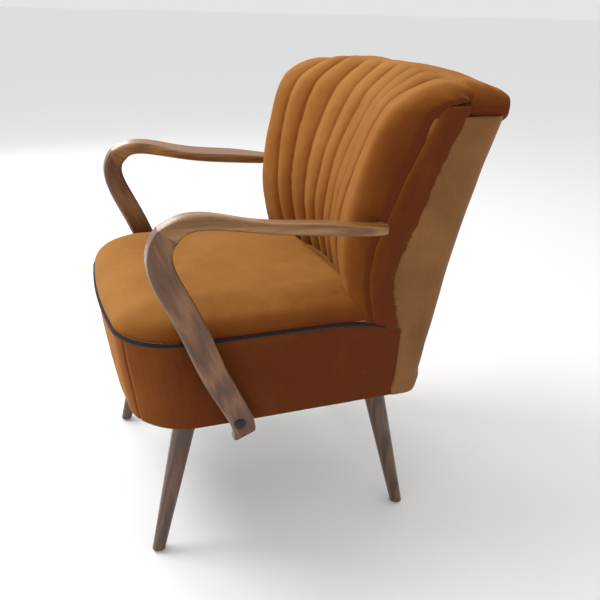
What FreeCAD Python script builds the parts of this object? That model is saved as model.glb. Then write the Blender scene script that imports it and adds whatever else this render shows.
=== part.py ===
"""An upholstered cocktail armchair: sprung seat, fluted back, bent wooden arms and splayed legs.

Millimetres. +Z is up, the sitter faces -Y, and +X is the sitter's left. The origin is on the
floor, under the centre of the chair's bounding box. Named sizes come first, then one function
for each sub-part. Everything is symmetric about X = 0, and "left" means the sitter's left.
"""

import FreeCAD, Part
import math
import os

from FreeCAD import Rotation, Vector

# ------------------------------------------------------------------ overall sizes
DEPTH = 645.0                  # front of the seat to the back of the head roll
WIDTH_OVER_ARMS = 580.0
HEIGHT = 776.0                 # top of the head roll

SOFT_GAP = 0.3                 # between upholstery and what it lies against

# ------------------------------------------------------------------ seat
SEAT_BOTTOM_Z = 236.0          # underside of the upholstered box
PIPING_Z = 390.0               # centre of the welt at the front
PIPING_DROP = 26.0             # how far the welt dips at its rear ends
PIPING_DROP_LENGTH = 115.0
SEAT_CROWN_Z = 437.0
SEAT_TOP_HALF_WIDTH = 236.0    # at the welt
SEAT_BASE_HALF_WIDTH = 226.0   # at the underside
SEAT_BASE_SETBACK = 20.0       # front face leans in this much at the underside
SEAT_CORNER_R = 100.0
SEAT_REAR_Y = 144.5            # where the side border meets the outer back
PIPING_R = 2.6
COVER_T = 2.0                  # velvet with its backing
BORDER_T = 12.0                # cover and felt on the rails
SEAT_BOW = 7.0                 # how far the front face bows between its corners

# ------------------------------------------------------------------ wooden frame
RAIL_T = 26.0
RAIL_H = 62.0
SCREW_R = 2.0
SCREW_HEAD_R = 4.2
SCREW_L = 38.0
SCREW_H = 36.0                 # height of the corner block's screws above the rails' underside
BLOCK_LEG = 70.0               # legs of the triangular corner blocks
POST_T = 32.0
POST_D = 48.0
WEB_T = 1.6
WEB_W = 50.0
WEB_COUNT_ACROSS = 4
WEB_COUNT_ALONG = 4
SPRING_R = 38.0
SPRING_WIRE_R = 1.9
SPRING_TURNS = 4
COIL_POINTS = 8                 # points that define each turn
SPRING_PITCH_X = 112.0
SPRING_PITCH_Y = 118.0
HESSIAN_T = 1.2

# ------------------------------------------------------------------ legs
LEG_TOP_R = 18.5
LEG_FOOT_R = 10.5
FRONT_FOOT = (213.0, -272.0)
FRONT_LEG_TOP = (194.0, -213.0)
REAR_FOOT = (227.0, 172.0)
REAR_LEG_TOP = (194.0, 122.0)
GLIDE_R = 8.5
GLIDE_H = 4.0
STUD_R = 4.0
STUD_INTO_LEG = 32.0
STUD_INTO_RAIL = 30.0
GLIDE_PIN_R = 1.4
GLIDE_PIN_L = 12.0

# ------------------------------------------------------------------ back
# Side profiles of the back, each as (height, y) from the seat up to the crown.
FRONT_PROFILE = [(352, 80), (436, 62), (508, 46), (640, 65), (736, 104), (762, 124)]
SEAM_PROFILE = [(352, 104), (472, 80), (627, 123), (745, 172)]
BAND_PROFILE = [(240, 146), (357, 146), (453, 122), (552, 154), (735, 208)]
REAR_PROFILE = [(236, 190), (470, 228), (716, 276)]
HALF_WIDTH_PROFILE = [(236, 228), (370, 234), (560, 245), (740, 271), (770, 276)]
BACK_CONCAVITY = 24.0          # how far the fluted centre lies behind the side rolls
REAR_BULGE = 20.0              # how far the outer back bows at its centre
CREST_INSET = 38.0             # side roll's crest in from the side
CORNER_INSET = 24.0            # outer back's rear corner in from the side
BAND_T = 12.0                  # side border with its padding
CUSHION_T = 24.0               # fluted cushion behind its side seam
WADDING_T = 8.0
TOP_CORNER_R = 44.0            # upper corners, seen from the front
BACK_TOP_Z = 762.0
ROLL_FOOT_Z = 702.0            # lower edge of the head roll at the rear
OUTER_T = 2.4                  # board and cloth of the outer back, together
CLOTH_T = 1.0

# ------------------------------------------------------------------ arms
# Sections of an arm: y, z, direction above +Y in degrees, thickness, width in X, centre x,
# and how far the section is turned outwards about that direction.
UPRIGHT_SECTIONS = [
    (-130, 229, 112, 39, 26, 246, 0),
    (-161, 310, 112, 40, 28, 254, 0),
    (-205, 417, 112, 41, 29, 264, 0),
    (-244, 505, 108, 39, 30, 271, 0),
    (-253, 537, 94, 36, 31, 273, 0),
    (-240, 575, 54, 33, 33, 272, 2),
]
ARMREST_SECTIONS = [
    (-240, 575, 54, 33, 33, 272, 2),
    (-205, 589, 8, 23, 38, 269, 6),
    (-150, 582, -10, 19, 46, 266, 9),
    (-52, 567, -8, 18, 50, 264, 9),
    (20, 560, -4, 18, 46, 265, 8),
    (84, 555, -4, 16, 32, 264, 5),
]
ARM_ROUND = 7.0                # rounding of the arms' edges
BOLT_R = 4.0
BOLT_Y, BOLT_Z = -140.0, 254.0
CAP_R = 9.5
CAP_H = 5.0
WASHER_R, WASHER_T = 11.0, 1.6
NUT_R, NUT_T = 7.5, 6.5
DOWEL_R = 4.0
DOWEL_L = 36.0
ARM_BLOCK_T = 20.0             # block in the back's side that the armrest is screwed to
ARM_BLOCK_H = 70.0
ARM_BLOCK_IN = 4.0             # the block lies this much inside the post's outer face
REAR_BOLT_Y, REAR_BOLT_Z = 70.0, 550.0
REAR_BOLT_INTO_ARM = 13.0

FRONT_Y = -DEPTH / 2
REAR_Y = DEPTH / 2
SIDES = (("left", 1), ("right", -1))


# ------------------------------------------------------------------ helpers
def smooth(points):
    """A function of the first coordinate that passes smoothly through the points."""
    xs = [float(p[0]) for p in points]
    ys = [float(p[1]) for p in points]
    last = len(xs) - 1
    slopes = []
    for i in range(last + 1):
        a, b = max(i - 1, 0), min(i + 1, last)
        slopes.append((ys[b] - ys[a]) / (xs[b] - xs[a]))

    def value(x):
        if x <= xs[0]:
            return ys[0] + (x - xs[0]) * slopes[0]
        if x >= xs[last]:
            return ys[last] + (x - xs[last]) * slopes[last]
        i = next(k for k in range(last) if x <= xs[k + 1])
        h = xs[i + 1] - xs[i]
        t = (x - xs[i]) / h
        return (
            (2 * t**3 - 3 * t**2 + 1) * ys[i]
            + (t**3 - 2 * t**2 + t) * h * slopes[i]
            + (3 * t**2 - 2 * t**3) * ys[i + 1]
            + (t**3 - t**2) * h * slopes[i + 1]
        )

    return value


front_y = smooth(FRONT_PROFILE)
seam_y = smooth(SEAM_PROFILE)
band_y = smooth(BAND_PROFILE)
rear_y = smooth(REAR_PROFILE)
half_width = smooth(HALF_WIDTH_PROFILE)


def line(a, b):
    return Part.LineSegment(a, b).toShape()


def arc(a, mid, b):
    return Part.Arc(a, mid, b).toShape()


def spline(points):
    curve = Part.BSplineCurve()
    curve.interpolate([Vector(*p) for p in points])
    return curve.toShape()


def polygon_prism(points, height):
    """A prism on a closed polygon of 3-D points, along +Z."""
    wire = Part.makePolygon([Vector(*p) for p in points + points[:1]])
    return Part.Face(wire).extrude(Vector(0, 0, height))


def box(x0, x1, y0, y1, z0, z1):
    return Part.makeBox(x1 - x0, y1 - y0, z1 - z0, Vector(x0, y0, z0))


def cylinder(centre, direction, radius, length):
    return Part.makeCylinder(radius, length, Vector(*centre), Vector(*direction))


def mirrored(shape):
    return shape.mirror(Vector(0, 0, 0), Vector(1, 0, 0))


def on_side(shape, side):
    """The shape, made for the left side, on the side asked for."""
    return shape if side > 0 else mirrored(shape)


def loft(wires):
    return Part.makeLoft(wires, True, False)


def export(name, *shapes):
    """Writes one sub-part, as its separate solids."""
    solids = [s for shape in shapes for s in shape.Solids]
    bad = [s for s in solids if not s.isValid() or s.Volume <= 0]
    if not solids or bad:
        raise ValueError(f"{name} has {len(bad)} bad solids of {len(solids)}")
    whole = solids[0] if len(solids) == 1 else Part.makeCompound(solids)
    whole.exportStep(os.path.join("parts", name + ".step"))
    print(f"{name}: {len(solids)} solid(s), {sum(s.Volume for s in solids) / 1000:.1f} cm3")


# ------------------------------------------------------------------ seat upholstery
def piping_z(y):
    """Height of the welt, which dips towards its rear ends."""
    past = max(0.0, y - (SEAT_REAR_Y - PIPING_DROP_LENGTH)) / PIPING_DROP_LENGTH
    return PIPING_Z - PIPING_DROP * past**2


def seat_outline(z, inset, rear_y_limit):
    """A seat section: straight sides, a slightly bowed front and round front corners."""
    share = (PIPING_Z - z) / (PIPING_Z - SEAT_BOTTOM_Z)
    w = SEAT_TOP_HALF_WIDTH + (SEAT_BASE_HALF_WIDTH - SEAT_TOP_HALF_WIDTH) * share - inset
    f = FRONT_Y + PIPING_R + SEAT_BASE_SETBACK * share + inset
    r = SEAT_CORNER_R - inset
    k = 1 - math.sqrt(0.5)
    right = [
        line(Vector(w, rear_y_limit, z), Vector(w, f + SEAT_BOW + r, z)),
        arc(
            Vector(w, f + SEAT_BOW + r, z),
            Vector(w - k * r, f + SEAT_BOW + k * r, z),
            Vector(w - r, f + SEAT_BOW, z),
        ),
    ]
    front = arc(Vector(w - r, f + SEAT_BOW, z), Vector(0, f, z), Vector(r - w, f + SEAT_BOW, z))
    left = [
        arc(
            Vector(r - w, f + SEAT_BOW, z),
            Vector(k * r - w, f + SEAT_BOW + k * r, z),
            Vector(-w, f + SEAT_BOW + r, z),
        ),
        line(Vector(-w, f + SEAT_BOW + r, z), Vector(-w, rear_y_limit, z)),
    ]
    rear = line(Vector(-w, rear_y_limit, z), Vector(w, rear_y_limit, z))
    return Part.Wire(right + [front] + left + [rear])


def seat_body(inset, z0, z1, rear_limit):
    return loft([seat_outline(z0, inset, rear_limit), seat_outline(z1, inset, rear_limit)])


def below_welt(lift):
    """Everything under the welt's own level, raised by lift."""
    ys = [FRONT_Y - 40, SEAT_REAR_Y - PIPING_DROP_LENGTH]
    steps = 6
    ys += [ys[1] + PIPING_DROP_LENGTH * (i + 1) / steps for i in range(steps)]
    ys.append(SEAT_REAR_Y + 60)
    top = [Vector(-400, y, piping_z(y) + lift) for y in ys]
    edges = [line(a, b) for a, b in zip(top, top[1:])]
    low_rear = Vector(-400, ys[-1], 100)
    low_front = Vector(-400, ys[0], 100)
    edges += [line(top[-1], low_rear), line(low_rear, low_front), line(low_front, top[0])]
    return Part.Face(Part.Wire(edges)).extrude(Vector(800, 0, 0))


def seat_border(outer, inner):
    """The wall round the front and sides of the seat, from one inset to another."""
    wall = seat_body(outer, SEAT_BOTTOM_Z, PIPING_Z + 8, SEAT_REAR_Y)
    hollow = seat_body(inner, SEAT_BOTTOM_Z - 10, PIPING_Z + 20, SEAT_REAR_Y + 10)
    return wall.cut(hollow).common(below_welt(-PIPING_R - SOFT_GAP))


def seat_dome(inset, top_z):
    """The crowned top of the seat, above the welt."""
    rear_limit = SEAT_REAR_Y - 58 - inset
    wires = []
    for share, shrink in ((0.0, 0.0), (0.42, 6.0), (0.76, 26.0), (1.0, 74.0)):
        z = PIPING_Z + (top_z - PIPING_Z) * share
        wire = seat_outline(PIPING_Z, inset + shrink, rear_limit - shrink * 0.25)
        wire.translate(Vector(0, 0, z - PIPING_Z))
        wires.append(wire)
    crown = loft(wires)
    skirt = seat_body(inset, PIPING_Z - PIPING_DROP - 12, PIPING_Z, rear_limit)
    return crown.fuse(skirt).removeSplitter().cut(below_welt(PIPING_R + SOFT_GAP))


def seat_piping():
    """The welt: a round cord swept along the top edge of the seat border."""
    w = SEAT_TOP_HALF_WIDTH + PIPING_R * 0.4
    f = FRONT_Y + PIPING_R
    r = SEAT_CORNER_R
    k = 1 - math.sqrt(0.5)
    y_bend = SEAT_REAR_Y - PIPING_DROP_LENGTH
    y_end = SEAT_REAR_Y - 30
    y_mid = (y_bend + y_end) / 2

    def half(s):
        return [
            spline([(s * w, y, piping_z(y)) for y in (y_end, y_mid, y_bend)]),
            line(Vector(s * w, y_bend, PIPING_Z), Vector(s * w, f + SEAT_BOW + r, PIPING_Z)),
            arc(
                Vector(s * w, f + SEAT_BOW + r, PIPING_Z),
                Vector(s * (w - k * r), f + SEAT_BOW + k * r, PIPING_Z),
                Vector(s * (w - r), f + SEAT_BOW, PIPING_Z),
            ),
        ]

    front = arc(
        Vector(w - r, f + SEAT_BOW, PIPING_Z), Vector(0, f, PIPING_Z), Vector(r - w, f + SEAT_BOW, PIPING_Z)
    )
    path = Part.Wire(Part.__sortEdges__(half(1) + [front] + half(-1)))
    start = Vector(w, y_end, piping_z(y_end))
    ring = Part.Wire(Part.makeCircle(PIPING_R, start, Vector(0, 1, 0)))
    return path.makePipeShell([ring], True, False)


def make_seat_upholstery(bolts, leg_holes, cushion_room):
    cover_in = COVER_T + SOFT_GAP
    export("seat_piping", seat_piping())
    border_cover = seat_border(0.0, COVER_T)
    border_felt = seat_border(cover_in, BORDER_T)
    for bolt in bolts:
        border_cover = border_cover.cut(bolt)
        border_felt = border_felt.cut(bolt)
    for leg in leg_holes:
        border_felt = border_felt.cut(leg)
    export("seat_border_cover", max(border_cover.Solids, key=lambda s: s.Volume))
    export("seat_border_felt", max(border_felt.Solids, key=lambda s: s.Volume))
    dome = seat_dome(0.0, SEAT_CROWN_Z)
    cover = dome.cut(seat_dome(COVER_T, SEAT_CROWN_Z - COVER_T)).cut(cushion_room)
    export("seat_top_cover", max(cover.Solids, key=lambda s: s.Volume))
    core_floor = box(-400, 400, -400, 400, 0, HESSIAN_Z + HESSIAN_T + SOFT_GAP)
    inner = seat_dome(cover_in, SEAT_CROWN_Z - cover_in).cut(core_floor).cut(cushion_room)
    export("seat_stuffing", max(inner.Solids, key=lambda s: s.Volume))
    hessian = seat_body(BORDER_T + 6, HESSIAN_Z, HESSIAN_Z + HESSIAN_T, SEAT_REAR_Y - 62)
    export("seat_hessian", hessian)


# ------------------------------------------------------------------ seat frame
RAIL_Z = SEAT_BOTTOM_Z + 4.0
RAIL_TOP_Z = RAIL_Z + RAIL_H
SIDE_RAIL_X = SEAT_BASE_HALF_WIDTH - BORDER_T - SOFT_GAP
INNER_X = SIDE_RAIL_X - RAIL_T
FRONT_BACK_Y = FRONT_Y + PIPING_R + SEAT_BASE_SETBACK + SEAT_BOW + BORDER_T + SOFT_GAP + RAIL_T
CORNER_END_Y = FRONT_Y + PIPING_R + SEAT_BASE_SETBACK + SEAT_BOW + SEAT_CORNER_R
REAR_RAIL_Y = 178.0
REAR_FRONT_Y = REAR_RAIL_Y - RAIL_T
HESSIAN_Z = PIPING_Z - 32.0
POST_TAN_Y = (REAR_PROFILE[-1][1] - REAR_PROFILE[0][1]) / (REAR_PROFILE[-1][0] - REAR_PROFILE[0][0])
POST_TAN_X = 0.078
POST_TOP_Z = ROLL_FOOT_Z - 12.0


def leg_axis(foot, top, sign):
    """The foot's centre and the direction of one leg's axis, for one side."""
    start = Vector(sign * foot[0], foot[1], 0)
    end = Vector(sign * top[0], top[1], SEAT_BOTTOM_Z)
    return start, end


def make_leg(foot, top, sign, extra):
    """A tapered round leg from its glide to the rails' underside, made larger by extra."""
    start, end = leg_axis(foot, top, sign)
    along = (end - start).normalize()
    below = 10.0
    above = 20.0
    slope = (LEG_TOP_R - LEG_FOOT_R) / (end - start).Length
    length = (end - start).Length + below + above
    r0 = LEG_FOOT_R - slope * below + extra
    r1 = LEG_TOP_R + slope * above + extra
    cone = Part.makeCone(r0, r1, length, start - along * below, along)
    return cone.common(box(-400, 400, -400, 400, GLIDE_H, RAIL_Z))


def make_stud(foot, top, sign):
    start, end = leg_axis(foot, top, sign)
    along = (end - start).normalize()
    at_rail = end + along * ((RAIL_Z - SEAT_BOTTOM_Z) / along.z)
    first = at_rail - along * STUD_INTO_LEG
    return Part.makeCylinder(STUD_R, STUD_INTO_LEG + STUD_INTO_RAIL, first, along)


def make_glide(foot, sign):
    disc = cylinder((sign * foot[0], foot[1], 0), (0, 0, 1), GLIDE_R, GLIDE_H)
    pin = cylinder((sign * foot[0], foot[1], GLIDE_H), (0, 0, 1), GLIDE_PIN_R, GLIDE_PIN_L)
    return disc.fuse(pin).removeSplitter()


LEGS = (("front", FRONT_FOOT, FRONT_LEG_TOP), ("rear", REAR_FOOT, REAR_LEG_TOP))


def make_legs():
    """Exports legs, studs and glides, and returns the studs and the legs' clearance shapes."""
    studs, holes = [], []
    for row, foot, top in LEGS:
        for name, sign in SIDES:
            stud = make_stud(foot, top, sign)
            glide = make_glide(foot, sign)
            leg = make_leg(foot, top, sign, 0.0).cut(stud).cut(glide)
            export(f"leg_{row}_{name}", leg)
            export(f"glide_{row}_{name}", glide)
            studs.append(stud)
            holes.append(make_leg(foot, top, sign, SOFT_GAP))
    export("leg_studs", *studs)
    return studs, holes


def wood_screw(head, along):
    """A countersunk screw, from the centre of its head's face along a direction."""
    head_point = Vector(*head)
    shank = Part.makeCylinder(SCREW_R, SCREW_L, head_point, along)
    cone = Part.makeCone(SCREW_HEAD_R, SCREW_R, SCREW_HEAD_R - SCREW_R, head_point, along)
    return shank.fuse(cone).removeSplitter()


def make_corner_blocks(studs):
    """Four triangular glue blocks with two screws each."""
    blocks, screws = [], []
    head_in = 25.0
    at = BLOCK_LEG * 0.58
    for sx in (1, -1):
        for y_corner, sy in ((FRONT_BACK_Y, 1), (REAR_FRONT_Y, -1)):
            x = sx * INNER_X
            points = [
                (x, y_corner, RAIL_Z),
                (x - sx * BLOCK_LEG, y_corner, RAIL_Z),
                (x, y_corner + sy * BLOCK_LEG, RAIL_Z),
            ]
            block = polygon_prism(points, RAIL_H - 18.0)
            pair = [
                ((x - sx * head_in, y_corner + sy * at, RAIL_Z + SCREW_H), Vector(sx, 0, 0)),
                ((x - sx * at, y_corner + sy * head_in, RAIL_Z + SCREW_H), Vector(0, -sy, 0)),
            ]
            for head, along in pair:
                screw = wood_screw(head, along)
                block = block.cut(screw).cut(cylinder(head, -along, SCREW_HEAD_R, 30.0))
                screws.append(screw)
            for stud in studs:
                block = block.cut(stud)
            blocks.append(block)
    return blocks, screws


def post_front(z):
    """Front face of the back posts."""
    return REAR_RAIL_Y - POST_D + (z - RAIL_TOP_Z) * POST_TAN_Y


def make_post(grow):
    """A back post, standing on the corner of the rails and leaning back and outwards."""
    rise = POST_TOP_Z - RAIL_TOP_Z
    lean = Vector(rise * POST_TAN_X, rise * POST_TAN_Y, rise)
    x0, x1 = SIDE_RAIL_X - POST_T - grow, SIDE_RAIL_X + grow
    y0, y1 = REAR_RAIL_Y - POST_D - grow, REAR_RAIL_Y + grow
    wires = []
    for shift in (Vector(0, 0, 0), lean):
        corners = [Vector(x, y, RAIL_TOP_Z) + shift for x, y in ((x0, y0), (x1, y0), (x1, y1), (x0, y1))]
        wires.append(Part.makePolygon(corners + corners[:1]))
    return Part.makeLoft(wires, True, True)


def leaning_rail(z0, z1, thickness, posts):
    """A rail between the posts, flush with their front faces."""
    corners = []
    for z, back in ((z0, 0), (z1, 0), (z1, thickness), (z0, thickness)):
        corners.append((-400, post_front(z) + back, z))
    wire = Part.makePolygon([Vector(*p) for p in corners + corners[:1]])
    bar = Part.Face(wire).extrude(Vector(800, 0, 0))
    pieces = bar.cut(posts[0]).cut(posts[1]).Solids
    return min(pieces, key=lambda s: abs(s.BoundBox.Center.x))


def make_frame(bolts, studs, leg_holes):
    """Exports the wooden frame, its fixings, the webbing, springs and dust cover."""
    blocks, screws = make_corner_blocks(studs)
    outline = seat_outline(SEAT_BOTTOM_Z, BORDER_T + SOFT_GAP, REAR_FRONT_Y)
    whole = Part.Face(outline).extrude(Vector(0, 0, RAIL_H))
    whole.translate(Vector(0, 0, RAIL_Z - SEAT_BOTTOM_Z))
    inside = box(-INNER_X, INNER_X, FRONT_BACK_Y, 400, 0, 600)
    ring = whole.cut(inside)
    for cutter in studs + screws + bolts:
        ring = ring.cut(cutter)
    export("seat_front_rail", ring.common(box(-400, 400, -400, CORNER_END_Y, 0, 600)))
    for name, sign in SIDES:
        half = box(0, 400, CORNER_END_Y, 400, 0, 600)
        export(f"seat_side_rail_{name}", ring.common(on_side(half, sign)))
    rear = box(-SIDE_RAIL_X, SIDE_RAIL_X, REAR_FRONT_Y, REAR_RAIL_Y, RAIL_Z, RAIL_TOP_Z)
    posts = [on_side(make_post(0.0), sign) for name, sign in SIDES]
    dowels = []
    for sign in (1, -1):
        x = sign * (SIDE_RAIL_X - POST_T / 2)
        y = REAR_RAIL_Y - RAIL_T / 2
        dowels.append(cylinder((x, y, RAIL_TOP_Z - DOWEL_L / 2), (0, 0, 1), DOWEL_R, DOWEL_L))
    for cutter in screws + dowels:
        rear = rear.cut(cutter)
    export("seat_rear_rail", rear)
    export("corner_blocks", *blocks)
    export("corner_block_screws", *screws)
    export("back_post_dowels", *dowels)
    arm_blocks = make_arm_blocks(posts, bolts)
    for (name, sign), post in zip(SIDES, posts):
        for cutter in dowels:
            post = post.cut(cutter)
        export(f"back_post_{name}", post)
    for (name, sign), block in zip(SIDES, arm_blocks):
        export(f"arm_block_{name}", block)
    export("back_top_rail", leaning_rail(POST_TOP_Z - 50, POST_TOP_Z, 26, posts))
    export("back_lumbar_rail", leaning_rail(RAIL_TOP_Z + 62, RAIL_TOP_Z + 106, 26, posts))
    make_webbing_and_springs(leg_holes)
    return arm_blocks


def make_arm_blocks(posts, bolts):
    """Blocks in the back's sides, from the posts forward to the armrests' ends."""
    blocks = []
    z0 = REAR_BOLT_Z - ARM_BLOCK_H / 2
    x1 = SIDE_RAIL_X + (z0 - RAIL_TOP_Z) * POST_TAN_X - ARM_BLOCK_IN
    for name, sign in SIDES:
        block = box(x1 - ARM_BLOCK_T, x1, REAR_BOLT_Y - 16, 300, z0, z0 + ARM_BLOCK_H)
        block = on_side(block, sign)
        for cutter in posts + bolts:
            block = block.cut(cutter)
        blocks.append(min(block.Solids, key=lambda s: s.BoundBox.YMin))
    return blocks


def make_coil(pitch):
    """One spring: a round wire along a smooth curve through points of a helix."""
    points = []
    for i in range(SPRING_TURNS * COIL_POINTS + 1):
        turn = i / COIL_POINTS
        angle = 2 * math.pi * turn
        points.append(Vector(SPRING_R * math.cos(angle), SPRING_R * math.sin(angle), pitch * turn))
    curve = Part.BSplineCurve()
    curve.interpolate(points)
    along = curve.tangent(curve.FirstParameter)[0]
    ring = Part.Wire(Part.makeCircle(SPRING_WIRE_R, points[0], along))
    return Part.Wire([curve.toShape()]).makePipeShell([ring], True, False)


def make_webbing_and_springs(leg_holes):
    strips = []
    z = RAIL_Z - WEB_T
    for i in range(WEB_COUNT_ACROSS):
        y = -170 + i * 92.0
        strips.append(box(-SIDE_RAIL_X + 6, SIDE_RAIL_X - 6, y, y + WEB_W, z, RAIL_Z))
    clear = [leg.common(box(-400, 400, -400, 400, z - 5, RAIL_Z)) for leg in leg_holes]
    web = strips[0]
    for strip in strips[1:]:
        web = web.fuse(strip)
    for i in range(WEB_COUNT_ALONG):
        x = (i - (WEB_COUNT_ALONG - 1) / 2) * 84.0 - WEB_W / 2
        web = web.fuse(box(x, x + WEB_W, FRONT_BACK_Y - 18, REAR_RAIL_Y - 6, z, RAIL_Z))
    for leg in clear:
        web = web.cut(leg)
    export("seat_webbing", web.removeSplitter())
    springs = []
    pitch = (HESSIAN_Z - RAIL_Z - 2 * SPRING_WIRE_R - 1.0) / SPRING_TURNS
    for i in (-1, 0, 1):
        for j in (-1, 0, 1):
            base = Vector(i * SPRING_PITCH_X, j * SPRING_PITCH_Y - 45, RAIL_Z + SPRING_WIRE_R + 0.5)
            coil = make_coil(pitch)
            coil.translate(base)
            springs.append(coil)
    export("seat_springs", *springs)
    dust = seat_body(BORDER_T + SOFT_GAP, SEAT_BOTTOM_Z, SEAT_BOTTOM_Z + CLOTH_T, REAR_RAIL_Y - 8)
    for leg in leg_holes:
        dust = dust.cut(leg)
    export("dust_cover", dust)
    back_web = []
    for i in range(3):
        x = (i - 1) * 110.0 - WEB_W / 2
        z0, z1 = RAIL_TOP_Z + 72, POST_TOP_Z - 10
        back_web.append(leaning_sheet(x, x + WEB_W, z0, z1, 0.0, WEB_T))
    export("back_webbing", *back_web)
    w = SIDE_RAIL_X - POST_T
    export("back_hessian", leaning_sheet(-w, w, RAIL_TOP_Z + 66, POST_TOP_Z - 4, WEB_T, HESSIAN_T))


def leaning_sheet(x0, x1, z0, z1, before, thickness):
    """A flat sheet in front of the posts' front faces, leaning with them."""
    corners = []
    for z, back in ((z0, thickness), (z1, thickness), (z1, 0), (z0, 0)):
        corners.append(Vector(x0, post_front(z) - before - back, z))
    wire = Part.makePolygon(corners + corners[:1])
    return Part.Face(wire).extrude(Vector(x1 - x0, 0, 0))


# ------------------------------------------------------------------ back upholstery
LEVEL_COUNT = 10
LEVEL_FOOT_Z = SEAT_BOTTOM_Z - 6.0
LEVEL_TOP_Z = HEIGHT + 6.0


def levels():
    """Heights of the back's plan sections, the same ones for every layer of the back."""
    step = (LEVEL_TOP_Z - LEVEL_FOOT_Z) / (LEVEL_COUNT - 1)
    return [LEVEL_FOOT_Z + step * i for i in range(LEVEL_COUNT)]


def between(z0, z1):
    return box(-400, 400, -400, 400, z0, z1)


def front_curve(z, y_shift):
    """The cushion's front in plan: hollow in the middle, with a roll at each side."""
    w = half_width(z)
    f = front_y(z) + y_shift
    s = seam_y(z)
    hollow = f + BACK_CONCAVITY
    right = [
        (w, s, z),
        (w - 5, f + (s - f) * 0.45, z),
        (w - CREST_INSET * 0.55, f + (s - f) * 0.08, z),
        (w - CREST_INSET, f, z),
        (w - CREST_INSET * 2.1, f + BACK_CONCAVITY * 0.4, z),
        (w * 0.36, hollow - 2.0, z),
    ]
    left = [(-x, y, h) for x, y, h in reversed(right)]
    return spline(right + [(0, hollow, z)] + left)


def cushion_wire(z, grow):
    w = half_width(z)
    inner = w - BAND_T - SOFT_GAP
    s = seam_y(z)
    rear = s + CUSHION_T + grow
    path = [(-w, s), (-inner, s), (-inner, rear), (inner, rear), (inner, s), (w, s)]
    points = [Vector(x, y, z) for x, y in path]
    edges = [line(a, b) for a, b in zip(points, points[1:])]
    return Part.Wire([front_curve(z, -grow)] + edges)


def stuffing_wire(z):
    inner = half_width(z) - BAND_T - 3.0
    front = seam_y(z) + CUSHION_T * 0.5
    rear = post_front(z) - WEB_T - HESSIAN_T - SOFT_GAP
    path = [(-inner, front), (inner, front), (inner, rear), (-inner, rear), (-inner, front)]
    return Part.makePolygon([Vector(x, y, z) for x, y in path])


def outer_wire(z, inset, forward):
    """The outer back in plan: from one side's border round the rear to the other's."""
    w = half_width(z) - inset
    b = band_y(z) + SOFT_GAP - forward
    r = rear_y(z) - inset
    start = band_y(z) + SOFT_GAP + 12.0
    right = [
        (w, start, z),
        (w - 3.5, r - 22.0, z),
        (w - CORNER_INSET * 0.45, r - 6.0, z),
        (w - CORNER_INSET * 1.2, r + 1.0, z),
        (w * 0.55, r + REAR_BULGE * 0.68, z),
    ]
    left = [(-x, y, h) for x, y, h in reversed(right)]
    rear = spline(right + [(0, r + REAR_BULGE, z)] + left)
    corners = [Vector(-w, start, z), Vector(-w, b, z), Vector(w, b, z), Vector(w, start, z)]
    return Part.Wire([rear] + [line(p, q) for p, q in zip(corners, corners[1:])])


def back_shell(outside, inside):
    outer = loft([outer_wire(z, outside, 0.0) for z in levels()])
    inner = loft([outer_wire(z, inside, 30.0) for z in levels()])
    return outer.cut(inner)


def front_outline():
    """A prism along Y of the back seen from the front, with rounded upper corners."""
    z0 = 100.0
    zs = [z0, SEAT_BOTTOM_Z + 110, 470.0, 600.0]
    right = [(half_width(max(z, SEAT_BOTTOM_Z)) + 2.0, -100, z) for z in zs]
    w = half_width(HEIGHT - TOP_CORNER_R) + 0.5
    k = TOP_CORNER_R * (1 - math.sqrt(0.5))
    edges = [
        spline(right + [(w, -100, HEIGHT - TOP_CORNER_R)]),
        arc(
            Vector(w, -100, HEIGHT - TOP_CORNER_R),
            Vector(w - k, -100, HEIGHT - k),
            Vector(w - TOP_CORNER_R, -100, HEIGHT),
        ),
    ]
    flip = [edge.mirror(Vector(0, 0, 0), Vector(1, 0, 0)) for edge in edges]
    top = line(Vector(w - TOP_CORNER_R, -100, HEIGHT), Vector(TOP_CORNER_R - w, -100, HEIGHT))
    base = line(Vector(right[0][0], -100, z0), Vector(-right[0][0], -100, z0))
    wire = Part.Wire(Part.__sortEdges__(edges + flip + [top, base]))
    return Part.Face(wire).extrude(Vector(0, 600, 0))


def head_roll(outline):
    """The padded roll over the top rail, which overhangs the outer back a little."""
    y0 = seam_y(ROLL_FOOT_Z) + CUSHION_T + 40.0
    low = ROLL_FOOT_Z
    front = seam_y(BACK_TOP_Z) + CUSHION_T - 14.0

    def at(y, z):
        return Vector(-400, y, z)

    crown = [
        (front, HEIGHT - 1.0),
        (front + 22, HEIGHT - 0.5),
        (front + 62, HEIGHT - 8.0),
        (REAR_Y - 20, HEIGHT - 31.0),
        (REAR_Y, low + 15.0),
        (REAR_Y - 9, low),
    ]
    edges = [
        spline([(-400, y, z) for y, z in crown]),
        line(at(REAR_Y - 9, low), at(y0, low)),
        line(at(y0, low), at(front, POST_TOP_Z + 20)),
        line(at(front, POST_TOP_Z + 20), at(front, HEIGHT - 1.0)),
    ]
    bar = Part.Face(Part.Wire(edges)).extrude(Vector(800, 0, 0))
    w = half_width(BACK_TOP_Z)
    plan = [
        spline([(w, REAR_Y - 34, 600), (w * 0.6, REAR_Y - 9, 600), (0, REAR_Y, 600),
                (-w * 0.6, REAR_Y - 9, 600), (-w, REAR_Y - 34, 600)]),
        line(Vector(-w, REAR_Y - 34, 600), Vector(-w, 0, 600)),
        line(Vector(-w, 0, 600), Vector(w, 0, 600)),
        line(Vector(w, 0, 600), Vector(w, REAR_Y - 34, 600)),
    ]
    plan_prism = Part.Face(Part.Wire(plan)).extrude(Vector(0, 0, 300))
    return bar.common(plan_prism).common(outline)


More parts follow.
